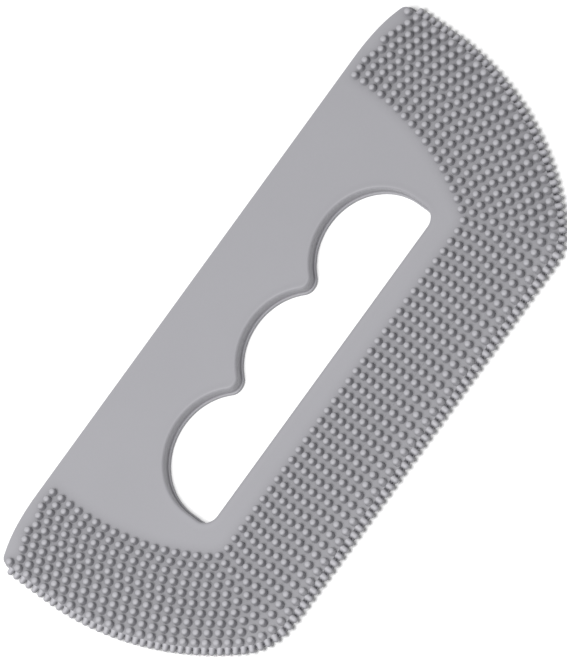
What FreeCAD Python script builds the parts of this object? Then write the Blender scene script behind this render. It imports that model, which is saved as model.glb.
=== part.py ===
import FreeCAD, Part

import os
from math import asin, atan2, cos, hypot, pi, sin, sqrt

import Sketcher
from FreeCAD import Vector

# Silicone grooming pad: a flat hand-sized pad held by three fingers through a
# scalloped slot. +Z is the nub side, +Y the straight smooth spine behind the
# fingers, -Y the long nubbed band. The origin is on the flat back face, at the
# centre of the pad's box.

doc = FreeCAD.newDocument("grooming_pad")

# ---------------------------------------------------------------- dimensions

DIMENSIONS = [
    # alias, millimetres (or a count), meaning
    ("backing_thickness", 0.7, "thin back layer that forms the lip and the slot ledge"),
    ("pad_thickness", 3.0, "backing and body together"),
    ("spine_y", 33.8, "straight smooth edge of the body"),
    ("spine_half_length", 58.0, "straight part of the spine, each way from the middle"),
    ("shoulder_radius", 52.0, "gentle rounding from the spine to each tip"),
    ("tip_radius", 1.4, "tight corner where shoulder and end wall meet"),
    ("slot_round", 0.6, "rounding of the body's top edge round the slot"),
    ("spine_round", 0.35, "rounding of the body's top edge along the spine"),
    ("crown_width", 8.0, "the top starts to fall this far inside the wall"),
    ("crown_drop", 0.8, "and is this much lower at the wall"),
    ("crown_overrun", 5.0, "the crown's cutter starts and ends this far beyond the spine"),
    ("cutter_margin", 0.5, "and stands this far out of the wall and the top"),
    ("row_count", 10, "nub rows, each a long U round the pad"),
    ("inner_row_y", -11.85, "long stretch of the innermost row"),
    ("outer_row_y", -32.22, "long stretch of the outermost row"),
    ("row_gap_growth", 0.042, "each gap between long stretches is this much wider"),
    ("right_inner_x", 54.66, "innermost row's straight stretch at the right end"),
    ("right_outer_x", 72.24, "outermost row's, at the right end"),
    ("right_inner_start_y", 26.5, "height at which the innermost row starts to bend"),
    ("right_outer_start_y", 18.7, "and the outermost row"),
    ("right_inner_flank", 69.0, "long arc of the innermost row"),
    ("right_outer_flank", 70.3, "long arc of the outermost row"),
    ("right_inner_corner", 3.2, "corner arc of the innermost row"),
    ("right_outer_corner", 8.5, "corner arc of the outermost row"),
    ("left_inner_x", 55.2, "the same sizes at the left end, which is fuller"),
    ("left_outer_x", 72.6, ""),
    ("left_inner_start_y", 23.6, ""),
    ("left_outer_start_y", 18.0, ""),
    ("left_inner_flank", 67.4, ""),
    ("left_outer_flank", 74.0, ""),
    ("left_inner_corner", 4.0, ""),
    ("left_outer_corner", 12.2, ""),
    ("wall_margin", 0.9, "body wall beyond the outermost row's centre line"),
    ("lip_margin", 1.25, "edge of the backing's lip beyond the same line"),
    ("spine_lip", 0.35, "backing's lip beyond the body along the spine"),
    ("nub_pitch", 2.648, "spacing of nubs along the inner five rows"),
    ("inner_tightening", 0.05, "the innermost row's nubs stand this much closer"),
    ("outer_nub_pitch", 2.624, "spacing along the first of the outer five rows"),
    ("outer_pitch_growth", 0.002, "and this much more in each row after it"),
    ("pitch_skew", 0.0095, "share by which the right half is wider spaced, and the left closer"),
    ("pattern_centre_x", -0.28, "both halves of every row are counted from here"),
    ("nub_height", 1.5, ""),
    ("nub_base_inner", 0.80, "root radius, innermost row"),
    ("nub_base_outer", 0.86, "root radius, outermost row"),
    ("nub_taper", 0.10, "radius lost from root to shoulder"),
    ("nub_dome", 0.50, "height of the domed tip"),
    ("nub_edge_gap", 2.05, "clear strip between the spine and the first nubs"),
    ("tooth_pitch", 1.825, "spacing of the edge teeth along the wall"),
    ("tooth_radius", 0.70, ""),
    ("tooth_length", 1.5, "how far a tooth stands out of the wall"),
    ("root_depth", 0.4, "how far roots are started inside the body before trimming"),
    ("tooth_z", 1.44, "height of the teeth's axes over the back face"),
    ("tooth_start_y", 29.8, "the first tooth at each end"),
    ("slot_centre_x", -0.55, "middle finger scallop"),
    ("scallop_spacing", 26.4, "one finger to the next"),
    ("scallop_centre_y", 1.75, ""),
    ("scallop_radius", 14.35, ""),
    ("ridge_radius", 2.95, "rounded ridge between two fingers"),
    ("slot_corner_radius", 2.8, "corners at the slot's straight side"),
    ("slot_straight_y", -4.25, "straight side of the slot"),
    ("slot_ledge", 0.45, "the body stands back from the backing round the slot"),
]

sheet = doc.addObject("Spreadsheet::Sheet", "dimensions")
for line, (alias, value, meaning) in enumerate(DIMENSIONS, start=1):
    sheet.set("A%d" % line, alias)
    sheet.set("B%d" % line, str(value))
    sheet.set("C%d" % line, meaning)
    sheet.setAlias("B%d" % line, alias)
doc.recompute()


def size(alias):
    """The value of one cell of the sheet."""
    return float(sheet.get(alias))


ROWS = int(size("row_count"))
CROWN_RADIUS = (size("crown_width") ** 2 + size("crown_drop") ** 2) / (2 * size("crown_drop"))

# ------------------------------------------------------- the U-shaped family


def between(side, name, share):
    """A row size between the innermost (0) and outermost (1) row, per end."""
    inner = size("%s_inner_%s" % (side, name))
    outer = size("%s_outer_%s" % (side, name))
    return inner + (outer - inner) * share


def long_stretch_y(row):
    """Y of a row's long stretch; row 0 is the innermost."""
    growth = size("row_gap_growth")
    mean_gap = (size("inner_row_y") - size("outer_row_y")) / (ROWS - 1)
    first_gap = mean_gap - growth * (ROWS - 2) / 2
    return size("inner_row_y") - row * first_gap - row * (row - 1) / 2 * growth


class HalfU:
    """One half of a U line: end stretch, long flank arc, corner arc, long stretch.

    It is worked out as if it lay on the right; sign mirrors it to the left.
    margin moves the whole line outwards."""

    def __init__(self, side, row, margin=0.0):
        share = row / (ROWS - 1)
        self.sign = 1 if side == "right" else -1
        self.x = between(side, "x", share) + margin
        self.start_y = between(side, "start_y", share)
        self.flank = between(side, "flank", share) + margin
        self.corner = between(side, "corner", share) + margin
        self.long_y = long_stretch_y(row) - margin
        self.flank_x = self.x - self.flank
        self.corner_y = self.long_y + self.corner
        reach = self.flank - self.corner
        self.corner_x = self.flank_x + sqrt(reach ** 2 - (self.start_y - self.corner_y) ** 2)
        self.bend = asin((self.start_y - self.corner_y) / reach)

    def point(self, travel):
        """Point and outward direction at this travel from the middle of the long stretch."""
        if travel <= self.corner_x:
            return self.placed(travel, self.long_y, 0.0, -1.0)
        travel -= self.corner_x
        corner_turn = pi / 2 - self.bend
        if travel <= corner_turn * self.corner:
            angle = -pi / 2 + travel / self.corner
            return self.on_arc(self.corner_x, self.corner_y, self.corner, angle)
        travel -= corner_turn * self.corner
        if travel <= self.bend * self.flank:
            angle = -self.bend + travel / self.flank
            return self.on_arc(self.flank_x, self.start_y, self.flank, angle)
        travel -= self.bend * self.flank
        return self.placed(self.x, self.start_y + travel, 1.0, 0.0)

    def on_arc(self, centre_x, centre_y, radius, angle):
        return self.placed(centre_x + radius * cos(angle), centre_y + radius * sin(angle),
                           cos(angle), sin(angle))

    def placed(self, x, y, out_x, out_y):
        return Vector(self.sign * x, y, 0), Vector(self.sign * out_x, out_y, 0)

    def depth(self, x, y):
        """Distance of a point inside the line from the line."""
        x *= self.sign
        if y >= self.start_y:
            return self.x - x
        if atan2(self.start_y - y, x - self.flank_x) <= self.bend:
            return self.flank - hypot(x - self.flank_x, y - self.start_y)
        if x >= self.corner_x:
            return self.corner - hypot(x - self.corner_x, y - self.corner_y)
        return y - self.long_y

    def length(self, top_y):
        """Travel from the middle of the long stretch up to this height."""
        turned = (pi / 2 - self.bend) * self.corner + self.bend * self.flank
        return self.corner_x + turned + top_y - self.start_y


WALL = {side: HalfU(side, ROWS - 1, size("wall_margin")) for side in ("right", "left")}


def surface_z(x, y):
    """Height of the pad's top at a point: flat, falling in an arc near the wall."""
    wall = WALL["right" if x > 0 else "left"]
    run = size("crown_width") - wall.depth(x, y)
    if run <= 0:
        return size("pad_thickness")
    return size("pad_thickness") - CROWN_RADIUS + sqrt(CROWN_RADIUS ** 2 - run ** 2)


def spine_line(x):
    """Y of the body's smooth edge: straight, then rounding down to the tips."""
    past = abs(x) - size("spine_half_length")
    if past <= 0:
        return size("spine_y")
    radius = size("shoulder_radius")
    return size("spine_y") - radius + sqrt(radius ** 2 - past ** 2)


# ------------------------------------------------------------ sketch helpers


def cells(text):
    """An expression on the sheet, from one written with bare aliases and spaces."""
    return " ".join("dimensions." + word if word[0].isalpha() else word for word in text.split())


def value_of(text):
    """The value of a sum or difference of aliases."""
    total, sign = 0.0, 1
    for word in text.split():
        if word in "+-":
            sign = 1 if word == "+" else -1
        else:
            total += sign * size(word)
    return total


def new_body(name):
    body = doc.addObject("PartDesign::Body", name)
    body.Label = name
    return body


def new_sketch(body, name, role, lift):
    """A sketch on one of the body's own origin planes, lifted off it by an expression."""
    plane = [feature for feature in body.Origin.OriginFeatures if feature.Role == role][0]
    sketch = body.newObject("Sketcher::SketchObject", name)
    sketch.AttachmentSupport = (plane, [""])
    sketch.MapMode = "FlatFace"
    sketch.setExpression("AttachmentOffset.Base.z", cells(lift))
    return sketch


class Chain:
    """Lines and arcs in a sketch, each joined to the next, with every size on the sheet."""

    def __init__(self, sketch):
        self.sketch = sketch
        self.ends = []

    def line(self, x1, y1, x2, y2):
        segment = Part.LineSegment(Vector(x1, y1, 0), Vector(x2, y2, 0))
        index = self.sketch.addGeometry(segment, False)
        self.ends.append((index, 1, 2))
        kind = "Horizontal" if abs(y1 - y2) < abs(x1 - x2) else "Vertical"
        self.sketch.addConstraint(Sketcher.Constraint(kind, index))
        return index

    def arc(self, x, y, radius, start, end, text):
        """An arc walked from start to end; a falling angle makes it clockwise."""
        circle = Part.Circle(Vector(x, y, 0), Vector(0, 0, 1), radius)
        curve = Part.ArcOfCircle(circle, min(start, end), max(start, end))
        index = self.sketch.addGeometry(curve, False)
        self.ends.append((index, 1, 2) if end > start else (index, 2, 1))
        self.bind("Radius", (index,), radius, text)
        return index

    def bind(self, kind, items, value, text):
        index = self.sketch.addConstraint(Sketcher.Constraint(kind, *items, value))
        name = "%s_%d" % (kind.lower(), index)
        self.sketch.renameConstraint(index, name)
        self.sketch.setExpression("Constraints." + name, cells(text))

    def at_x(self, index, place, text):
        self.bind("DistanceX", (-1, 1, index, place), value_of(text), text)

    def at_y(self, index, place, text):
        self.bind("DistanceY", (-1, 1, index, place), value_of(text), text)

    def join(self, closed=True, kind="Tangent"):
        """Join every element to the next one, and the last to the first if it is closed."""
        following = self.ends[1:] + (self.ends[:1] if closed else [])
        for here, there in zip(self.ends, following):
            joint = (here[0], here[2], there[0], there[1])
            self.sketch.addConstraint(Sketcher.Constraint(kind, *joint))


START, END, CENTRE = 1, 2, 3


def pad_outline(sketch, margin, lip):
    """The pad's outer line: spine, two shoulders and tips, two ends, long band.

    margin is the alias of its distance beyond the outermost nub row, and lip
    is what it adds along the spine, such as "+ spine_lip"."""
    chain = Chain(sketch)
    right = HalfU("right", ROWS - 1, size(margin))
    left = HalfU("left", ROWS - 1, size(margin))
    spine, straight = value_of("spine_y " + lip), size("spine_half_length")
    shoulder, tip = value_of("shoulder_radius " + lip), value_of("tip_radius " + lip)

    def tip_place(half):
        """Height of the tip's centre, and the direction to it from the shoulder's centre."""
        across = half.x - tip - straight
        up = sqrt((shoulder - tip) ** 2 - across ** 2)
        return spine - shoulder + up, atan2(up, across)

    right_tip_y, right_tilt = tip_place(right)
    left_tip_y, left_tilt = tip_place(left)

    spine_edge = chain.line(straight, spine, -straight, spine)
    chain.at_y(spine_edge, START, "spine_y " + lip)
    chain.at_x(spine_edge, START, "spine_half_length")
    chain.at_x(spine_edge, END, "- spine_half_length")
    chain.arc(-straight, spine - shoulder, shoulder, pi / 2, pi - left_tilt, "shoulder_radius " + lip)
    chain.arc(tip - left.x, left_tip_y, tip, pi - left_tilt, pi, "tip_radius " + lip)

    left_end = chain.line(-left.x, left_tip_y, -left.x, left.start_y)
    chain.at_x(left_end, START, "- left_outer_x - " + margin)
    chain.at_y(left_end, END, "left_outer_start_y")
    chain.arc(-left.flank_x, left.start_y, left.flank, pi, pi + left.bend, "left_outer_flank + " + margin)
    chain.arc(-left.corner_x, left.corner_y, left.corner, pi + left.bend, 3 * pi / 2,
              "left_outer_corner + " + margin)

    band = chain.line(-left.corner_x, left.long_y, right.corner_x, right.long_y)
    chain.at_y(band, START, "outer_row_y - " + margin)

    chain.arc(right.corner_x, right.corner_y, right.corner, 3 * pi / 2, 2 * pi - right.bend,
              "right_outer_corner + " + margin)
    chain.arc(right.flank_x, right.start_y, right.flank, -right.bend, 0, "right_outer_flank + " + margin)
    right_end = chain.line(right.x, right.start_y, right.x, right_tip_y)
    chain.at_x(right_end, START, "right_outer_x + " + margin)
    chain.at_y(right_end, START, "right_outer_start_y")
    chain.arc(right.x - tip, right_tip_y, tip, 0, right_tilt, "tip_radius " + lip)
    chain.arc(straight, spine - shoulder, shoulder, right_tilt, pi / 2, "shoulder_radius " + lip)
    chain.join()


def finger_slot(sketch, wider, narrower):
    """Three finger scallops over one straight side.

    wider and narrower are the ledge added to a hollow curve and taken off a
    proud one, such as "+ slot_ledge" and "- slot_ledge"."""
    chain = Chain(sketch)
    hollow = value_of("scallop_radius " + wider)
    ridge = value_of("ridge_radius " + narrower)
    corner = value_of("slot_corner_radius " + wider)
    straight = value_of("slot_straight_y " + narrower)
    level, pitch = size("scallop_centre_y"), size("scallop_spacing")
    middle_x = size("slot_centre_x")
    right_x, left_x = middle_x + pitch, middle_x - pitch
    rise = sqrt((hollow + ridge) ** 2 - (pitch / 2) ** 2)
    tilt = atan2(rise, pitch / 2)

    side = chain.line(left_x - hollow + corner, straight, right_x + hollow - corner, straight)
    chain.at_y(side, START, "slot_straight_y " + narrower)
    chain.arc(right_x + hollow - corner, straight + corner, corner, 3 * pi / 2, 2 * pi,
              "slot_corner_radius " + wider)
    chain.line(right_x + hollow, straight + corner, right_x + hollow, level)
    right_scallop = chain.arc(right_x, level, hollow, 0, pi - tilt, "scallop_radius " + wider)
    chain.arc(right_x - pitch / 2, level + rise, ridge, -tilt, tilt - pi, "ridge_radius " + narrower)
    middle_scallop = chain.arc(middle_x, level, hollow, tilt, pi - tilt, "scallop_radius " + wider)
    chain.arc(left_x + pitch / 2, level + rise, ridge, -tilt, tilt - pi, "ridge_radius " + narrower)
    left_scallop = chain.arc(left_x, level, hollow, tilt, pi, "scallop_radius " + wider)
    chain.line(left_x - hollow, level, left_x - hollow, straight + corner)
    chain.arc(left_x - hollow + corner, straight + corner, corner, pi, 3 * pi / 2,
              "slot_corner_radius " + wider)

    chain.at_x(right_scallop, CENTRE, "slot_centre_x + scallop_spacing")
    chain.at_x(middle_scallop, CENTRE, "slot_centre_x")
    chain.at_x(left_scallop, CENTRE, "slot_centre_x - scallop_spacing")
    for scallop in (right_scallop, middle_scallop, left_scallop):
        chain.at_y(scallop, CENTRE, "scallop_centre_y")
    chain.join()


def pad_layer(name, bottom, thickness, margin, lip, wider, narrower):
    """A flat layer of the pad with the finger slot through it."""
    body = new_body(name)
    outline = new_sketch(body, name + "_outline", "XY_Plane", bottom)
    pad_outline(outline, margin, lip)
    layer = body.newObject("PartDesign::Pad", name + "_slab")
    layer.Profile = outline
    layer.setExpression("Length", cells(thickness))
    doc.recompute()

    opening = new_sketch(body, name + "_slot_line", "XY_Plane", bottom)
    finger_slot(opening, wider, narrower)
    slot = body.newObject("PartDesign::Pocket", name + "_slot")
    slot.Profile = opening
    slot.Reversed = True
    slot.setExpression("Length", cells(thickness))
    doc.recompute()
    print(name, "slot removes", round(layer.Shape.Volume - slot.Shape.Volume), "cubic mm")
    return body


# ------------------------------------------------------------- the backing

backing = pad_layer("backing_layer", "0", "backing_thickness", "lip_margin", "+ spine_lip", "", "")

# ---------------------------------------------------------------- the body

body = pad_layer("pad_body", "backing_thickness", "pad_thickness - backing_thickness",
                 "wall_margin", "", "+ slot_ledge", "- slot_ledge")

# The top falls in a wide arc towards the nubbed walls. A cutter whose lower
# edge is that arc runs along the wall line, from beyond one tip to beyond the
# other.


def crown_path(sketch):
    chain = Chain(sketch)
    left, right = WALL["left"], WALL["right"]
    top_y = value_of("spine_y + crown_overrun")
    left_end = chain.line(-left.x, top_y, -left.x, left.start_y)
    chain.arc(-left.flank_x, left.start_y, left.flank, pi, pi + left.bend,
              "left_outer_flank + wall_margin")
    chain.arc(-left.corner_x, left.corner_y, left.corner, pi + left.bend, 3 * pi / 2,
              "left_outer_corner + wall_margin")
    band = chain.line(-left.corner_x, left.long_y, right.corner_x, right.long_y)
    chain.arc(right.corner_x, right.corner_y, right.corner, 3 * pi / 2, 2 * pi - right.bend,
              "right_outer_corner + wall_margin")
    chain.arc(right.flank_x, right.start_y, right.flank, -right.bend, 0,
              "right_outer_flank + wall_margin")
    right_end = chain.line(right.x, right.start_y, right.x, top_y)
    chain.at_x(left_end, START, "- left_outer_x - wall_margin")
    chain.at_y(left_end, START, "spine_y + crown_overrun")
    chain.at_y(left_end, END, "left_outer_start_y")
    chain.at_y(band, START, "outer_row_y - wall_margin")
    chain.at_x(right_end, START, "right_outer_x + wall_margin")
    chain.at_y(right_end, START, "right_outer_start_y")
    chain.at_y(right_end, END, "spine_y + crown_overrun")
    chain.join(closed=False)


def crown_section(sketch):
    """The cutter's section at the left end: the crown's arc below, open air above."""
    chain = Chain(sketch)
    top, clear = size("pad_thickness"), size("cutter_margin")
    inner_x = size("crown_width") - WALL["left"].x
    outer_x = -WALL["left"].x - clear
    sweep = asin((inner_x - outer_x) / CROWN_RADIUS)
    low = top - CROWN_RADIUS * (1 - cos(sweep))
    fall = chain.arc(inner_x, top - CROWN_RADIUS, CROWN_RADIUS, pi / 2, pi / 2 + sweep,
                     "( crown_width ^ 2 + crown_drop ^ 2 ) / ( 2 * crown_drop )")
    outside = chain.line(outer_x, low, outer_x, top + clear)
    above = chain.line(outer_x, top + clear, inner_x, top + clear)
    inside = chain.line(inner_x, top + clear, inner_x, top)
    chain.join(kind="Coincident")
    chain.at_x(inside, END, "crown_width - left_outer_x - wall_margin")
    chain.at_y(inside, END, "pad_thickness")
    chain.at_x(fall, CENTRE, "crown_width - left_outer_x - wall_margin")
    chain.at_x(outside, START, "- left_outer_x - wall_margin - cutter_margin")
    chain.at_y(above, START, "pad_thickness + cutter_margin")


path = new_sketch(body, "crown_path", "XY_Plane", "pad_thickness")
crown_path(path)
section = new_sketch(body, "crown_section", "XZ_Plane", "- spine_y - crown_overrun")
crown_section(section)
crown = body.newObject("PartDesign::SubtractivePipe", "crown")
crown.Profile = section
crown.Spine = path
doc.recompute()


def top_edges(shape, wanted):
    """Names of the edges on the flat top whose middle passes a test."""
    names = []
    for number, edge in enumerate(shape.Edges, start=1):
        middle = edge.valueAt((edge.FirstParameter + edge.LastParameter) / 2)
        if abs(middle.z - size("pad_thickness")) < 1e-6 and wanted(middle):
            names.append("Edge%d" % number)
    return names


def on_slot(point):
    """The slot's edges are the only ones between the innermost row and the spine."""
    beside = abs(point.x) < size("right_inner_x")
    return beside and size("inner_row_y") < point.y < value_of("spine_y - crown_width")


def on_spine(point):
    return abs(point.y - size("spine_y")) < 1e-3


def rounded(base, name, wanted):
    """A fillet, its radius on the sheet under its own name, on chosen top edges."""
    fillet = body.newObject("PartDesign::Fillet", name)
    fillet.Base = (base, top_edges(base.Shape, wanted))
    fillet.setExpression("Radius", cells(name))
    doc.recompute()
    print(name, "removes", round(base.Shape.Volume - fillet.Shape.Volume, 2), "cubic mm")
    return fillet


rounded(rounded(crown, "slot_round", on_slot), "spine_round", on_spine)

# ---------------------------------------------------------------- the nubs


def row_pitch(row):
    """Mean spacing of a row's nubs: the two innermost rows are a little tighter."""
    if row < ROWS // 2:
        return size("nub_pitch") - size("inner_tightening") * max(0, 2 - row) / 2
    return size("outer_nub_pitch") + size("outer_pitch_growth") * (row - ROWS // 2)


def row_line(row):
    """Every nub position of one row, from the middle of its long stretch both ways."""
    places = []
    for side in ("left", "right"):
        half = HalfU(side, row)
        pitch = row_pitch(row) * (1 + half.sign * size("pitch_skew"))
        travel = pitch / 2 + half.sign * size("pattern_centre_x")
        while True:
            place = half.point(travel)[0]
            if place.y > spine_line(place.x) - size("nub_edge_gap"):
                break
            places.append(place)
            travel += pitch
    return places


def nub(row, root):
    """A tapered peg with a domed tip, standing on z = 0 with its root below it."""
    share = row / (ROWS - 1)
    base = size("nub_base_inner") + (size("nub_base_outer") - size("nub_base_inner")) * share
    shoulder = base - size("nub_taper")
    height, dome = size("nub_height"), size("nub_dome")
    dome_radius = (shoulder ** 2 + dome ** 2) / (2 * dome)
    half = asin(min(1.0, shoulder / dome_radius)) / 2
    dome_point = Vector(dome_radius * sin(half), 0, height - dome_radius * (1 - cos(half)))
    foot, rim, tip = Vector(base, 0, 0), Vector(shoulder, 0, height - dome), Vector(0, 0, height)
    edges = [Part.makeLine(foot, rim),
             Part.Arc(rim, dome_point, tip).toShape(),
             Part.makeLine(tip, Vector(0, 0, -root)),
             Part.makeLine(Vector(0, 0, -root), Vector(base, 0, -root))]
    if root:
        edges.append(Part.makeLine(Vector(base, 0, -root), foot))
    return Part.Face(Part.Wire(edges)).revolve(Vector(0, 0, 0), Vector(0, 0, 1), 360)


def on_flat(place):
    """True where a whole nub stands on the flat part of the top."""
    wall = WALL["right" if place.x > 0 else "left"]
    return wall.depth(place.x, place.y) > value_of("crown_width + nub_base_outer")


def group_node(name, pegs, trimmed):
    """One node from many equal pegs, their roots cut off where the body begins."""
    group = Part.Compound(pegs)
    if trimmed:
        group = group.cut(body.Shape)
    if len(group.Solids) != len(pegs):
        raise RuntimeError("%s: %d solids from %d pegs" % (name, len(group.Solids), len(pegs)))
    node = doc.addObject("Part::Feature", name)
    node.Label = name
    node.Shape = group
    return node


nodes = [backing, body]
for row in range(ROWS):
    places = row_line(row)
    flat = all(on_flat(place) for place in places)
    peg = nub(row, 0 if flat else size("root_depth"))
    pegs = []
    for place in places:
        copy = peg.copy()
        copy.translate(Vector(place.x, place.y, surface_z(place.x, place.y)))
        pegs.append(copy)
    nodes.append(group_node("nub_row_%02d" % (row + 1), pegs, not flat))

# ----------------------------------------------------------- the edge teeth


def tooth():
    """A round peg lying along +X with a ball end, its root a little behind the wall."""
    radius, length, root = size("tooth_radius"), size("tooth_length"), size("root_depth")
    back, front, tip = Vector(-root, radius, 0), Vector(length - radius, radius, 0), Vector(length, 0, 0)
    round_point = Vector(length - radius + radius * cos(pi / 4), radius * sin(pi / 4), 0)
    edges = [Part.makeLine(Vector(-root, 0, 0), back),
             Part.makeLine(back, front),
             Part.Arc(front, round_point, tip).toShape(),
             Part.makeLine(tip, Vector(-root, 0, 0))]
    return Part.Face(Part.Wire(edges)).revolve(Vector(0, 0, 0), Vector(1, 0, 0), 360)


teeth = {"edge_teeth_left_end": [], "edge_teeth_long_side": [], "edge_teeth_right_end": []}
for side in ("left", "right"):
    wall = WALL[side]
    count = int(wall.length(size("tooth_start_y")) / size("tooth_pitch"))
    corner_end = wall.corner_x + (pi / 2 - wall.bend) * wall.corner
    for number in range(count):
        travel = (number + 0.5) * size("tooth_pitch")
        place, out = wall.point(travel)
        peg = tooth()
        peg.rotate(Vector(0, 0, 0), Vector(0, 0, 1), atan2(out.y, out.x) * 180 / pi)
        peg.translate(place + Vector(0, 0, size("tooth_z")))
        stretch = "long_side" if travel < corner_end else side + "_end"
        teeth["edge_teeth_" + stretch].append(peg)
for name, pegs in teeth.items():
    nodes.append(group_node(name, pegs, True))

# ------------------------------------------------------------------- output

# Everything is moved so that the origin is at the centre of the whole pad's box.
CENTRING = {"x": "( left_outer_x - right_outer_x ) / 2",
            "y": "( wall_margin + tooth_length - outer_row_y - spine_y - spine_lip ) / 2"}
for node in nodes:
    for axis, text in CENTRING.items():
        node.setExpression("Placement.Base." + axis, cells(text))

doc.recompute()
for item in doc.Objects:
    if "Invalid" in item.State or "Error" in item.State:
        raise RuntimeError("%s: %s" % (item.Label, item.State))
for node in nodes:
    if node.Shape.isNull() or not node.Shape.isValid():
        raise RuntimeError(node.Label + " has no valid shape")

os.makedirs("parts", exist_ok=True)
for node in nodes:
    node.Shape.exportStep("parts/%s.step" % node.Label)
    box = node.Shape.optimalBoundingBox()
    print("%-18s %4d solids  %6.1f x %5.1f x %4.1f mm" % (
        node.Label, len(node.Shape.Solids), box.XLength, box.YLength, box.ZLength))
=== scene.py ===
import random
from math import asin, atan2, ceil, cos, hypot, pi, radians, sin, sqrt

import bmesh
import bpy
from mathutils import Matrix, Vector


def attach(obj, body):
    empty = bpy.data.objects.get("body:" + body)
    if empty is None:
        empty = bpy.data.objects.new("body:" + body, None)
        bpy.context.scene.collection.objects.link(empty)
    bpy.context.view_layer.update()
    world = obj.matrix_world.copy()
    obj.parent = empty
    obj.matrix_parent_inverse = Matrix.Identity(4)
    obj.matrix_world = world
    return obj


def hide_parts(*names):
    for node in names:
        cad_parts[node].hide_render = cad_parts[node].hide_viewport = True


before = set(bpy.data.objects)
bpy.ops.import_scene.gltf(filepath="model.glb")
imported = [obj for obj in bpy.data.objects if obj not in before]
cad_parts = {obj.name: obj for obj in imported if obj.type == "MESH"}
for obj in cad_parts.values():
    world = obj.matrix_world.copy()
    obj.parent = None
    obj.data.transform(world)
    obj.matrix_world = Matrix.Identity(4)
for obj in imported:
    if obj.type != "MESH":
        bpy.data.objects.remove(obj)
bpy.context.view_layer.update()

# %% [markdown]
# A silicone grooming pad: one flat moulding, held by three fingers through a
# scalloped slot. Its top carries ten U-shaped rows of short domed nubs, and
# its walls carry a fringe of round-ended teeth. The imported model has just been
# loaded; every piece made here stands for one of its nodes, in the same place
# and in metres. +X runs along the pad, +Y from the nubbed band to the smooth
# spine, and +Z out of the flat back.

MM = 0.001

# %% [markdown]
# The pad has two layers. A thin backing lies on the table; it sticks out under
# the teeth as a lip and inside the slot as a ledge. The thick body stands on
# it. Both follow the same outline, so the outline is worth describing once:
# each half is an end stretch, a long flank arc, a corner arc and half of the
# long band. The two ends are not quite alike: the left one is fuller. Every
# nub row is the same kind of line, further in, so one class describes the
# whole family, from the innermost row (0) to the outermost (9).

# %% The family of U-shaped lines
ROWS = 10
ENDS = {
    "right": {"x": (54.66, 72.24), "start_y": (26.5, 18.7), "flank": (69.0, 70.3),
              "corner": (3.2, 8.5)},
    "left": {"x": (55.2, 72.6), "start_y": (23.6, 18.0), "flank": (67.4, 74.0),
             "corner": (4.0, 12.2)},
}
INNER_ROW_Y, OUTER_ROW_Y, ROW_GAP_GROWTH = -11.85, -32.22, 0.042
SPINE_Y, SPINE_HALF_LENGTH, SHOULDER_RADIUS = 33.8, 58.0, 52.0
TOOTH_LENGTH, WALL_MARGIN, LIP_MARGIN, SPINE_LIP = 1.5, 0.9, 1.25, 0.35


def long_stretch_y(row):
    """Height of a row's long stretch; the gaps grow a little outwards."""
    mean_gap = (INNER_ROW_Y - OUTER_ROW_Y) / (ROWS - 1)
    first_gap = mean_gap - ROW_GAP_GROWTH * (ROWS - 2) / 2
    return INNER_ROW_Y - row * first_gap - row * (row - 1) / 2 * ROW_GAP_GROWTH


class HalfU:
    """Half of a U line in millimetres, worked out as if it lay on the right."""

    def __init__(self, side, row, margin=0.0):
        share = row / (ROWS - 1)
        inner_outer = ENDS[side]
        between = {name: a + (b - a) * share for name, (a, b) in inner_outer.items()}
        self.sign = 1 if side == "right" else -1
        self.x = between["x"] + margin
        self.start_y = between["start_y"]
        self.flank = between["flank"] + margin
        self.corner = between["corner"] + margin
        self.long_y = long_stretch_y(row) - margin
        self.flank_x = self.x - self.flank
        self.corner_y = self.long_y + self.corner
        reach = self.flank - self.corner
        self.corner_x = self.flank_x + sqrt(reach ** 2 - (self.start_y - self.corner_y) ** 2)
        self.bend = asin((self.start_y - self.corner_y) / reach)
        self.corner_turn = pi / 2 - self.bend

    def length(self, top_y):
        """Travel from the middle of the long stretch up to this height."""
        turned = self.corner_turn * self.corner + self.bend * self.flank
        return self.corner_x + turned + top_y - self.start_y

    def point(self, travel):
        """Place and outward direction at this travel from the long stretch's middle."""
        if travel <= self.corner_x:
            return Vector((self.sign * travel, self.long_y, 0)), Vector((0, -1, 0))
        travel -= self.corner_x
        if travel <= self.corner_turn * self.corner:
            angle = -pi / 2 + travel / self.corner
            return self.on_arc(self.corner_x, self.corner_y, self.corner, angle)
        travel -= self.corner_turn * self.corner
        if travel <= self.bend * self.flank:
            angle = travel / self.flank - self.bend
            return self.on_arc(self.flank_x, self.start_y, self.flank, angle)
        travel -= self.bend * self.flank
        return self.on_arc(self.x, self.start_y + travel, 0, 0)

    def on_arc(self, x, y, radius, angle):
        out = Vector((self.sign * cos(angle), sin(angle), 0))
        return Vector((self.sign * x, y, 0)) + out * radius, out

    def depth(self, x, y):
        """How far a point lies inside the line."""
        x *= self.sign
        if y >= self.start_y:
            return self.x - x
        if atan2(self.start_y - y, x - self.flank_x) <= self.bend:
            return self.flank - hypot(x - self.flank_x, y - self.start_y)
        if x >= self.corner_x:
            return self.corner - hypot(x - self.corner_x, y - self.corner_y)
        return y - self.long_y


WALL = {side: HalfU(side, ROWS - 1, WALL_MARGIN) for side in ENDS}


def spine_line(x, lip=0.0):
    """Height of the smooth edge: straight, then rounding down to the tips."""
    past = max(0.0, abs(x) - SPINE_HALF_LENGTH)
    return SPINE_Y - SHOULDER_RADIUS + sqrt((SHOULDER_RADIUS + lip) ** 2 - past ** 2)


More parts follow.
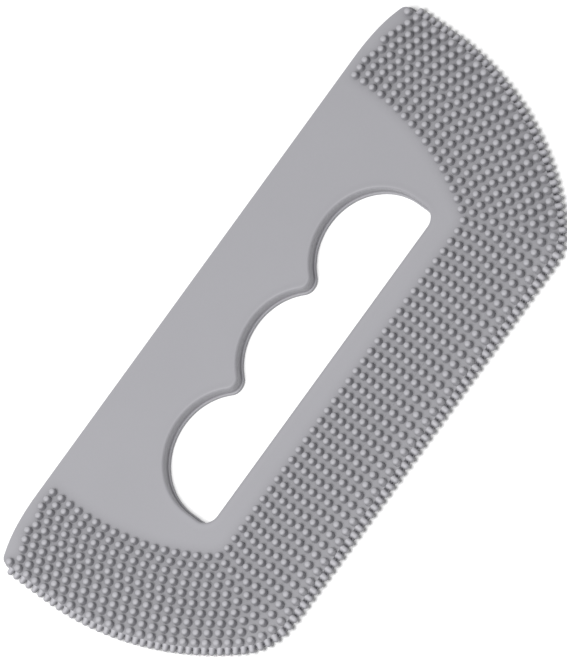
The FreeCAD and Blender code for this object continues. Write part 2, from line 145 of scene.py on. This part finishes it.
# The lines are drawn about the slot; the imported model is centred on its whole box.
reach = {side: WALL[side].x + TOOTH_LENGTH for side in ENDS}
lowest_y = WALL["right"].long_y - TOOTH_LENGTH
CENTRING = Vector(((reach["left"] - reach["right"]) / 2, -(lowest_y + SPINE_Y + SPINE_LIP) / 2, 0))
print("centring, mm:", [round(value, 3) for value in CENTRING])

# %% [markdown]
# A line becomes mesh by walking it. A single vertex is pulled along the
# straight stretches and spun about each arc's centre, which is how one would
# draw it with extrude and spin in the viewport. All the steps are counted by
# angle, so two lines that are offsets of each other get the same number of
# vertices and can be bridged.

# %% Walking a line
class Walker:
    """Pulls and spins one vertex along a line, in millimetres."""

    def __init__(self, mesh, x, y, z):
        self.mesh = mesh
        self.z = z
        self.first = self.tip = bmesh.ops.create_vert(mesh, co=(x, y, z))["vert"][0]
        self.edges = []

    def straight(self, x, y):
        made = bmesh.ops.extrude_vert_indiv(self.mesh, verts=[self.tip])
        self.edges += made["edges"]
        self.tip = made["verts"][0]
        self.tip.co = (x, y, self.z)
        return self

    def spin(self, x, y, angle, step):
        """Turns about (x, y); a positive angle is anticlockwise."""
        before = set(self.mesh.edges)
        made = bmesh.ops.spin(self.mesh, geom=[self.tip], cent=(x, y, self.z), axis=(0, 0, 1),
                              angle=angle, steps=max(2, ceil(abs(angle) / radians(step))))
        self.tip = [item for item in made["geom_last"] if isinstance(item, bmesh.types.BMVert)][0]
        self.edges += [edge for edge in self.mesh.edges if edge not in before]
        return self


def u_line(mesh, margin, z, lip):
    """An open U from the right tip round the band to the left tip."""
    right, left = (HalfU(side, ROWS - 1, margin) for side in ("right", "left"))
    walker = Walker(mesh, right.x, spine_line(right.x, lip), z)
    walker.straight(right.x, right.start_y)
    walker.spin(right.flank_x, right.start_y, -right.bend, 1.0)
    walker.spin(right.corner_x, right.corner_y, -right.corner_turn, 4.0)
    walker.straight(-left.corner_x, left.long_y)
    walker.spin(-left.corner_x, left.corner_y, -left.corner_turn, 4.0)
    walker.spin(-left.flank_x, left.start_y, -left.bend, 1.0)
    return walker.straight(-left.x, spine_line(-left.x, lip))


SLOT_X, SCALLOP_SPACING, SCALLOP_Y = -0.55, 26.4, 1.75
SCALLOP_RADIUS, RIDGE_RADIUS, SLOT_CORNER, SLOT_SIDE_Y, SLOT_LEDGE = 14.35, 2.95, 2.8, -4.25, 0.45


def slot_ring(mesh, grow, z):
    """A line once round the finger slot, this far outside the backing's edge.

    Its last vertex is put exactly on its first one; merging the mesh closes it."""
    hollow, ridge, corner = SCALLOP_RADIUS + grow, RIDGE_RADIUS - grow, SLOT_CORNER + grow
    side_y = SLOT_SIDE_Y - grow
    left_x, right_x = SLOT_X - SCALLOP_SPACING, SLOT_X + SCALLOP_SPACING
    rise = sqrt((hollow + ridge) ** 2 - (SCALLOP_SPACING / 2) ** 2)
    tilt = atan2(rise, SCALLOP_SPACING / 2)
    walker = Walker(mesh, left_x - hollow + corner, side_y, z)
    walker.straight(right_x + hollow - corner, side_y)
    walker.spin(right_x + hollow - corner, side_y + corner, pi / 2, 9.0)
    walker.straight(right_x + hollow, SCALLOP_Y)
    walker.spin(right_x, SCALLOP_Y, pi - tilt, 4.0)
    walker.spin(right_x - SCALLOP_SPACING / 2, SCALLOP_Y + rise, 2 * tilt - pi, 7.0)
    walker.spin(SLOT_X, SCALLOP_Y, pi - 2 * tilt, 4.0)
    walker.spin(left_x + SCALLOP_SPACING / 2, SCALLOP_Y + rise, 2 * tilt - pi, 7.0)
    walker.spin(left_x, SCALLOP_Y, pi - tilt, 4.0)
    walker.straight(left_x - hollow, side_y + corner)
    walker.spin(left_x - hollow + corner, side_y + corner, pi / 2, 9.0)
    walker.tip.co = walker.first.co
    return walker


def spine_chain(mesh, left_x, right_x, lip, z):
    """The smooth edge from the left end of a U, over both shoulders, to its right end."""
    centre_y, radius = SPINE_Y - SHOULDER_RADIUS, SHOULDER_RADIUS + lip
    left_turn = asin((-left_x - SPINE_HALF_LENGTH) / radius)
    right_turn = asin((right_x - SPINE_HALF_LENGTH) / radius)
    walker = Walker(mesh, left_x, spine_line(left_x, lip), z)
    walker.spin(-SPINE_HALF_LENGTH, centre_y, -left_turn, 1.5)
    walker.straight(SPINE_HALF_LENGTH, SPINE_Y + lip)
    walker.spin(SPINE_HALF_LENGTH, centre_y, -right_turn, 1.5)
    walker.tip.co = (right_x, spine_line(right_x, lip), z)
    return walker


# %% [markdown]
# Every piece is finished in the same way: lengths go from millimetres to
# metres, the pad's middle moves to the origin, seams are merged, faces are
# turned outwards, and the object rides on the pad's one body. Smooth shading
# with a sharp limit of 40 degrees keeps rounded edges soft and corners crisp.

# %% Finishing a piece
made_pieces = []


def merge(mesh, distance=0.002):
    bmesh.ops.remove_doubles(mesh, verts=mesh.verts, dist=distance)


def finish_piece(mesh, name, node, weighted=False):
    """Turns a bmesh drawn in millimetres into the piece that stands for a node."""
    bmesh.ops.translate(mesh, vec=CENTRING, verts=mesh.verts)
    bmesh.ops.scale(mesh, vec=(MM, MM, MM), verts=mesh.verts)
    bmesh.ops.recalc_face_normals(mesh, faces=mesh.faces)
    open_edges = [edge for edge in mesh.edges if not edge.is_manifold]
    data = bpy.data.meshes.new(name)
    mesh.to_mesh(data)
    mesh.free()
    data.shade_smooth()
    data.set_sharp_from_angle(angle=radians(40))
    piece = bpy.data.objects.new(name, data)
    bpy.context.scene.collection.objects.link(piece)
    if weighted:
        normals = piece.modifiers.new("even_shading", "WEIGHTED_NORMAL")
        normals.keep_sharp = True
    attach(piece, "root")
    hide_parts(node)
    made_pieces.append(piece)
    print("%s: %d faces, %d open edges" % (name, len(data.polygons), len(open_edges)))
    return piece


# %% [markdown]
# The body's top is flat in the middle and falls in a wide arc towards the
# nubbed walls. U lines at growing depth inside the wall, each at the height of
# that arc, are bridged into clean strips. The flat middle is then filled
# between the last line, the spine and the slot. Round the slot, rings give the
# wall a small cove at its foot, the edge its rounding, and the top a slight
# raised bead.

# %% The thick body
BACKING, TOP, CROWN_WIDTH, CROWN_DROP = 0.7, 3.0, 8.0, 0.8
CROWN_RADIUS = (CROWN_WIDTH ** 2 + CROWN_DROP ** 2) / (2 * CROWN_DROP)
SLOT_ROUND, BEAD_HEIGHT, BEAD_WIDTH = 0.6, 0.05, 1.25
RIM_ROUND, TIP_ROUND = 0.35, 1.15


def crown_z(depth):
    """Height of the top this far inside the wall."""
    run = max(0.0, CROWN_WIDTH - depth)
    return TOP - CROWN_RADIUS + sqrt(CROWN_RADIUS ** 2 - run ** 2)


def bridged(mesh, lines):
    """Skins a list of walked lines, each to the next."""
    for here, there in zip(lines, lines[1:]):
        bmesh.ops.bridge_loops(mesh, edges=here.edges + there.edges)


def level_edges(mesh, low, high):
    """Open edges whose two ends both lie between two heights."""
    return [edge for edge in mesh.edges if edge.is_boundary
            and all(low < vert.co.z < high for vert in edge.verts)]


def tip_corners(mesh):
    """The upright edges at the two tips of the spine."""
    return [edge for edge in mesh.edges
            if (edge.verts[0].co - edge.verts[1].co).xy.length < 1e-4
            and edge.verts[0].co.y > 30 and abs(edge.verts[0].co.x) > 73]


STRIPS = (0.0, 1.6, 2.4, 3.2, 4.0, 4.8, 5.6, 6.4, 7.2, 8.0, 9.5)

COVE = 0.2

slot_section = [(-COVE, BACKING)]
for turn in range(15, 91, 15):
    angle = radians(turn)
    slot_section.append((-COVE * (1 - sin(angle)), BACKING + COVE * (1 - cos(angle))))
slot_section.append((0.0, TOP - SLOT_ROUND))
for turn in range(15, 91, 15):
    angle = radians(turn)
    slot_section.append((SLOT_ROUND * (1 - cos(angle)),
                         TOP - SLOT_ROUND + (SLOT_ROUND + BEAD_HEIGHT) * sin(angle)))
for share in (0.25, 0.5, 0.75, 1.0):
    slot_section.append((SLOT_ROUND + BEAD_WIDTH * share,
                         TOP + BEAD_HEIGHT * (1 + cos(pi * share)) / 2))
slot_section.append((SLOT_ROUND + BEAD_WIDTH + 0.3, TOP))

body = bmesh.new()
inner = u_line(body, WALL_MARGIN - STRIPS[-1], TOP, 0)
spine_chain(body, inner.tip.co.x, inner.first.co.x, 0, TOP)
slot_ring(body, SLOT_LEDGE + slot_section[-1][0], TOP)
merge(body)
bmesh.ops.triangle_fill(body, use_beauty=True, edges=body.edges, normal=(0, 0, 1))
bridged(body, [u_line(body, WALL_MARGIN - depth, crown_z(depth), 0) for depth in STRIPS])
bridged(body, [slot_ring(body, SLOT_LEDGE + out, z) for out, z in slot_section])
merge(body)

outside = level_edges(body, BACKING + 0.1, TOP + 0.1)
wall = bmesh.ops.extrude_edge_only(body, edges=outside)["geom"]
for item in wall:
    if isinstance(item, bmesh.types.BMVert):
        item.co.z = BACKING
bmesh.ops.triangle_fill(body, use_beauty=True, edges=level_edges(body, 0, BACKING + 0.1),
                        normal=(0, 0, -1))
bmesh.ops.recalc_face_normals(body, faces=body.faces)
bmesh.ops.bevel(body, geom=tip_corners(body), offset=TIP_ROUND, segments=6, profile=0.5,
                affect="EDGES", material=-1, clamp_overlap=True)
rim = [edge for edge in body.edges if edge.is_manifold and edge.calc_face_angle() > radians(40)
       and min(vert.co.z for vert in edge.verts) > BACKING + 0.1]
bmesh.ops.bevel(body, geom=rim, offset=RIM_ROUND, segments=4, profile=0.5,
                affect="EDGES", material=-1, clamp_overlap=True)
pad = finish_piece(body, "moulded_body", "pad_body", weighted=True)

# %% [markdown]
# The backing is one even sheet, so its outline and the slot's outline are
# filled once, and the face is pulled up by its thickness. Its edges are the
# ones that a mould leaves: rounded by a little over a tenth of a millimetre.

# %% The backing layer
EDGE_ROUND = 0.14

backing = bmesh.new()
lip_line = u_line(backing, LIP_MARGIN, 0, SPINE_LIP)
spine_chain(backing, lip_line.tip.co.x, lip_line.first.co.x, SPINE_LIP, 0)
slot_ring(backing, 0, 0)
merge(backing)
bmesh.ops.triangle_fill(backing, use_beauty=True, edges=backing.edges, normal=(0, 0, 1))
sheet = bmesh.ops.extrude_face_region(backing, geom=backing.faces)
lifted = [item for item in sheet["geom"] if isinstance(item, bmesh.types.BMVert)]
bmesh.ops.translate(backing, vec=(0, 0, BACKING), verts=lifted)
bmesh.ops.recalc_face_normals(backing, faces=backing.faces)
bmesh.ops.bevel(backing, geom=tip_corners(backing), offset=TIP_ROUND + SPINE_LIP, segments=6,
                profile=0.5, affect="EDGES", material=-1, clamp_overlap=True)
rim = [edge for edge in backing.edges if edge.calc_face_angle() > radians(60)]
bmesh.ops.bevel(backing, geom=rim, offset=EDGE_ROUND, segments=3, profile=0.5,
                affect="EDGES", material=-1, clamp_overlap=True)
sheet_piece = finish_piece(backing, "thin_backing", "backing_layer", weighted=True)

# %% [markdown]
# A nub is a short tapered peg with a domed tip and a small flare where it
# grows out of the pad. Its half section is a short chain of vertices, spun once
# round; twelve sides are enough for something under two millimetres wide that
# is there eight hundred times. The same spin, lying down, makes an edge tooth.

# %% One nub and one tooth
SIDES = 12


def turned(section, axis):
    """A closed mesh spun from (distance along the axis, radius) pairs."""
    mesh = bmesh.new()
    along = Vector(axis)
    across = Vector((0, 1, 0))
    verts = [bmesh.ops.create_vert(mesh, co=along * run + across * radius)["vert"][0]
             for run, radius in section]
    for here, there in zip(verts, verts[1:]):
        bmesh.ops.contextual_create(mesh, geom=[here, there])
    bmesh.ops.spin(mesh, geom=mesh.verts[:] + mesh.edges[:], cent=(0, 0, 0), axis=along,
                   angle=2 * pi, steps=SIDES, use_merge=True)
    merge(mesh)
    bmesh.ops.holes_fill(mesh, edges=[edge for edge in mesh.edges if edge.is_boundary])
    bmesh.ops.recalc_face_normals(mesh, faces=mesh.faces)
    data = bpy.data.meshes.new("turned")
    mesh.to_mesh(data)
    mesh.free()
    return data


NUB_HEIGHT, NUB_DOME, NUB_TAPER, NUB_FLARE = 1.45, 0.38, 0.08, 0.06
NUB_BASES = (0.80, 0.86)
NUB_SINK, NUB_FLARE_END = 0.03, 0.16


def nub_section(row):
    base = NUB_BASES[0] + (NUB_BASES[1] - NUB_BASES[0]) * row / (ROWS - 1)
    shoulder = base - NUB_TAPER
    dome = [(NUB_HEIGHT - NUB_DOME * (1 - cos(radians(turn))), shoulder * sin(radians(turn)))
            for turn in (90, 60, 30, 0)]
    return [(-NUB_SINK, base + NUB_FLARE), (NUB_FLARE_END, base)] + dome


TOOTH_RADIUS, TOOTH_PITCH, TOOTH_Z, TOOTH_TOP_Y = 0.70, 1.825, 1.44, 29.8
TOOTH_SINK, TOOTH_FLARE, TOOTH_FLARE_END = 0.1, 0.2, 0.5
ball = [(TOOTH_LENGTH - TOOTH_RADIUS * (1 - cos(radians(turn))),
         TOOTH_RADIUS * sin(radians(turn))) for turn in (90, 55, 25, 0)]
root = [(-TOOTH_SINK, TOOTH_RADIUS + TOOTH_FLARE), (TOOTH_FLARE_END, TOOTH_RADIUS)]
tooth_mesh = turned(root + ball, (1, 0, 0))
print("a tooth has", len(tooth_mesh.polygons), "faces")

# %% [markdown]
# The nubs stand in rows, counted from near the middle of the long band. Each
# row has a pitch of its own, a little wider to the right than to the left. So
# that the rows don't look machined, each nub leans by up to two degrees and is
# up to three per cent short. The random numbers start from a fixed seed.

# %% The ten rows of nubs
NUB_PITCH, INNER_TIGHTENING, OUTER_NUB_PITCH, OUTER_PITCH_GROWTH = 2.648, 0.05, 2.624, 0.002
PITCH_SKEW, PATTERN_X, NUB_EDGE_GAP = 0.0095, -0.28, 2.05
NUB_LEAN, NUB_SHORTEST, TOOTH_SWAY = 2, 0.97, 1.5
chance = random.Random(26)


def row_pitch(row):
    """Mean spacing of a row's nubs."""
    if row < ROWS // 2:
        return NUB_PITCH - INNER_TIGHTENING * max(0, 2 - row) / 2
    return OUTER_NUB_PITCH + OUTER_PITCH_GROWTH * (row - ROWS // 2)


def row_places(row):
    """Every nub position of a row, standing on the crowned top."""
    for side in ("left", "right"):
        half = HalfU(side, row)
        pitch = row_pitch(row) * (1 + half.sign * PITCH_SKEW)
        travel = pitch / 2 + half.sign * PATTERN_X
        while True:
            place = half.point(travel)[0]
            if place.y > spine_line(place.x) - NUB_EDGE_GAP:
                break
            place.z = crown_z(WALL[side].depth(place.x, place.y))
            yield place
            travel += pitch


def stamped(pattern, transforms):
    """One bmesh with the pattern at every transform."""
    mesh = bmesh.new()
    for transform in transforms:
        start = len(mesh.verts)
        mesh.from_mesh(pattern)
        mesh.verts.ensure_lookup_table()
        bmesh.ops.transform(mesh, matrix=transform, verts=mesh.verts[start:])
    return mesh


def standing(place):
    """Turns, leans and shortens one nub a little, then puts it in its place."""
    lean = Matrix.Rotation(radians(chance.uniform(-NUB_LEAN, NUB_LEAN)), 4, "X")
    turn = Matrix.Rotation(chance.uniform(0, 2 * pi), 4, "Z")
    short = Matrix.Diagonal((1, 1, chance.uniform(NUB_SHORTEST, 1), 1))
    return Matrix.Translation(place) @ turn @ lean @ short


nub_rows = []
for row in range(ROWS):
    pattern = turned(nub_section(row), (0, 0, 1))
    mesh = stamped(pattern, [standing(place) for place in row_places(row)])
    nub_rows.append(finish_piece(mesh, "nubs_%02d" % (row + 1), "nub_row_%02d" % (row + 1)))

# %% [markdown]
# The teeth point straight out of the wall all the way round the U. They are
# one fringe on the real pad; here it is three pieces, because the model keeps
# a node for each end and one for the long side.

# %% The fringe of edge teeth
fringe = {"left_end": [], "long_side": [], "right_end": []}
for side in ("left", "right"):
    wall = WALL[side]
    corner_end = wall.corner_x + wall.corner_turn * wall.corner
    for number in range(int(wall.length(TOOTH_TOP_Y) / TOOTH_PITCH)):
        travel = (number + 0.5) * TOOTH_PITCH
        place, out = wall.point(travel)
        heading = atan2(out.y, out.x) + radians(chance.uniform(-TOOTH_SWAY, TOOTH_SWAY))
        spot = Matrix.Translation(place + Vector((0, 0, TOOTH_Z)))
        stretch = "long_side" if travel < corner_end else side + "_end"
        fringe[stretch].append(spot @ Matrix.Rotation(heading, 4, "Z")
                               @ Matrix.Rotation(chance.uniform(0, 2 * pi), 4, "X"))
teeth = [finish_piece(stamped(tooth_mesh, places), "teeth_" + stretch, "edge_teeth_" + stretch)
         for stretch, places in fringe.items()]

# %% [markdown]
# Silicone of this kind is a mid grey with a hint of blue, satin rather than
# glossy, and takes a fine grain from the mould. The shader sums are written as
# Python: a wrapped socket can be added and multiplied like a number, and each
# operation becomes a Math node.

# %% A small language for shaders
class Wire:
    """A shader output that can stand in a sum."""

    def __init__(self, shader, socket):
        self.shader = shader
        self.socket = socket

    def maths(self, operation, first, second):
        return self.shader.node("ShaderNodeMath", {"operation": operation}, {0: first, 1: second})

    def __add__(self, other):
        return self.maths("ADD", self, other)

    def __sub__(self, other):
        return self.maths("SUBTRACT", self, other)

    def __rsub__(self, other):
        return self.maths("SUBTRACT", other, self)

    def __mul__(self, other):
        return self.maths("MULTIPLY", self, other)

    __radd__ = __add__
    __rmul__ = __mul__


class Shader:
    """A material's node tree around one Principled shader."""

    def __init__(self, name):
        self.material = bpy.data.materials.new(name)
        self.material.use_nodes = True
        self.tree = self.material.node_tree
        self.principled = self.tree.nodes["Principled BSDF"]

    def node(self, kind, settings, sockets, output=0):
        """Adds a node: its settings first, then the values or wires of its sockets."""
        made = self.tree.nodes.new(kind)
        for key, value in settings.items():
            setattr(made, key, value)
        for key, value in sockets.items():
            self.feed(made.inputs[key], value)
        return Wire(self, made.outputs[output])

    def feed(self, socket, value):
        if isinstance(value, Wire):
            self.tree.links.new(value.socket, socket)
        else:
            socket.default_value = value

    def surface(self, **values):
        for key, value in values.items():
            self.feed(self.principled.inputs[key.replace("_", " ")], value)


# %% [markdown]
# One recipe serves the whole pad. A broad, faint cloudiness varies the grey,
# and a fine grain breaks up the shine and feeds the bump. Two adjustments act
# only where a face points up, and neither is a property of the silicone:
# crevices get painted shade, darker where ambient occlusion finds neighbours
# close, and the nubs, the teeth and the backing's ledge get painted light,
# which stands in for light that one simple lamp doesn't give.

# %% Silicone
GREY = (0.29, 0.287, 0.307, 1)
CLOUD_SIZE, GRAIN_SIZE = 0.018, 0.00035
CREVICE = 0.0025
BUMP_STRENGTH, BUMP_DEPTH, REFRACTION = 0.25, 0.00003, 1.41
UP_FROM, UP_FULL = 0.45, 0.95
# strength of the painted shade in up-facing crevices, for the body and for the nubs
PAINTED_CREVICE_SHADE, NUB_PAINTED_CREVICE_SHADE = 0.60, 0.15
# painted light added to up-facing faces of the nubs, the teeth and the backing's ledge
NUB_PAINTED_LIGHT, TOOTH_PAINTED_LIGHT, LEDGE_PAINTED_LIGHT = 0.24, 0.35, 0.15


def silicone(name, painted_crevice_shade, painted_top_light=0.0):
    """Grey silicone with painted shade in its crevices; painted_top_light adds painted light to
    whatever faces up.
    """
    shader = Shader(name)
    place = shader.node("ShaderNodeTexCoord", {}, {}, 3)
    cloud = shader.node("ShaderNodeTexNoise", {},
                        {"Vector": place, "Scale": 1 / CLOUD_SIZE, "Detail": 3.0})
    grain = shader.node("ShaderNodeTexNoise", {},
                        {"Vector": place, "Scale": 1 / GRAIN_SIZE, "Detail": 2.0})
    normal = shader.node("ShaderNodeNewGeometry", {}, {}, 1)
    height = shader.node("ShaderNodeSeparateXYZ", {}, {0: normal}, 2)
    upward = shader.node("ShaderNodeMapRange", {"interpolation_type": "SMOOTHSTEP"},
                         {0: height, 1: UP_FROM, 2: UP_FULL, 3: 0.0, 4: 1.0})
    sky = shader.node("ShaderNodeAmbientOcclusion", {"samples": 8}, {"Distance": CREVICE}, 1)
    mottling = 0.97 + 0.05 * cloud + 0.04 * (grain - 0.5)
    # painted shade: up-facing faces are darkened where ambient occlusion finds neighbours close
    shade = mottling * (1 - painted_crevice_shade * upward * (1 - sky))
    # painted light: every face that points up is made lighter
    shade = shade + painted_top_light * upward
    tint = shader.node("ShaderNodeVectorMath", {"operation": "SCALE"}, {0: GREY[:3], 3: shade})
    bump = shader.node("ShaderNodeBump", {},
                       {"Strength": BUMP_STRENGTH, "Distance": BUMP_DEPTH, "Height": grain})
    shader.surface(Base_Color=tint, Roughness=0.44 + 0.12 * grain, Normal=bump, IOR=REFRACTION)
    return shader.material


smooth_silicone = silicone("satin_silicone", PAINTED_CREVICE_SHADE)
backing_silicone = silicone("backing_silicone", 0.0, LEDGE_PAINTED_LIGHT)
nub_silicone = silicone("nub_silicone", NUB_PAINTED_CREVICE_SHADE, NUB_PAINTED_LIGHT)
tooth_silicone = silicone("tooth_silicone", 0.0, TOOTH_PAINTED_LIGHT)
looks = {pad: smooth_silicone, sheet_piece: backing_silicone}
looks.update((piece, nub_silicone) for piece in nub_rows)
looks.update((piece, tooth_silicone) for piece in teeth)
for piece in made_pieces:
    piece.data.materials.append(looks[piece])
print(len(made_pieces), "pieces in", len(bpy.data.materials), "materials")

# %% [markdown]
# The pad lies on a plain pale table under soft studio light: one large lamp
# almost overhead, a little to the left, and an even white sky that keeps the
# shadows open. The camera looks down from the band's side, turned so that the pad stands up
# diagonally, through a long lens that hardly distorts it.

# %% Table
TABLE_SIZE, TABLE_GAP = 4.0, 0.00005

floor_mesh = bmesh.new()
bmesh.ops.create_grid(floor_mesh, x_segments=1, y_segments=1, size=TABLE_SIZE)
floor_data = bpy.data.meshes.new("table")
floor_mesh.to_mesh(floor_data)
floor_mesh.free()
floor = bpy.data.objects.new("table", floor_data)
floor.location.z = -TABLE_GAP
bpy.context.scene.collection.objects.link(floor)
paper = Shader("white_paper")
paper.surface(Base_Color=(0.9, 0.9, 0.9, 1), Roughness=0.9)
floor_data.materials.append(paper.material)

# %% Light
SKY_STRENGTH = 0.42
KEY_TOWARDS, KEY_DISTANCE, KEY_WIDTH, KEY_WATTS = (-0.30, 0.02, 0.95), 1.0, 0.6, 11.0

world = bpy.data.worlds.new("studio")
bpy.context.scene.world = world
world.use_nodes = True
sky_inputs = world.node_tree.nodes["Background"].inputs
sky_inputs["Color"].default_value = (1, 1, 1, 1)
sky_inputs["Strength"].default_value = SKY_STRENGTH


def lamp(name, towards, distance, width, watts):
    """A square soft lamp that looks at the pad."""
    data = bpy.data.lights.new(name, "AREA")
    data.size = width
    data.energy = watts
    made = bpy.data.objects.new(name, data)
    direction = Vector(towards).normalized()
    made.location = direction * distance
    made.rotation_mode = "QUATERNION"
    made.rotation_quaternion = direction.to_track_quat("Z", "Y")
    bpy.context.scene.collection.objects.link(made)


lamp("soft_key", KEY_TOWARDS, KEY_DISTANCE, KEY_WIDTH, KEY_WATTS)
bpy.context.scene.view_settings.view_transform = "Standard"

# %% Camera
TILT, TURN, FRAME_HEIGHT, DISTANCE = radians(29), radians(54.02), 0.1399, 4.0
LOOK_AT = Vector((1.97, 10.5, 0)) * MM + CENTRING * MM
back = Vector((0, -sin(TILT), cos(TILT)))
along = Vector((1, 0, 0))
uphill = back.cross(along)
right = cos(TURN) * along - sin(TURN) * uphill
up = sin(TURN) * along + cos(TURN) * uphill
camera_data = bpy.data.cameras.new("camera")
camera_data.lens = camera_data.sensor_width * DISTANCE / FRAME_HEIGHT
camera = bpy.data.objects.new("camera", camera_data)
pointing = Matrix((right, up, back)).transposed().to_4x4()
camera.matrix_world = Matrix.Translation(LOOK_AT + back * DISTANCE) @ pointing
bpy.context.scene.collection.objects.link(camera)
bpy.context.scene.camera = camera
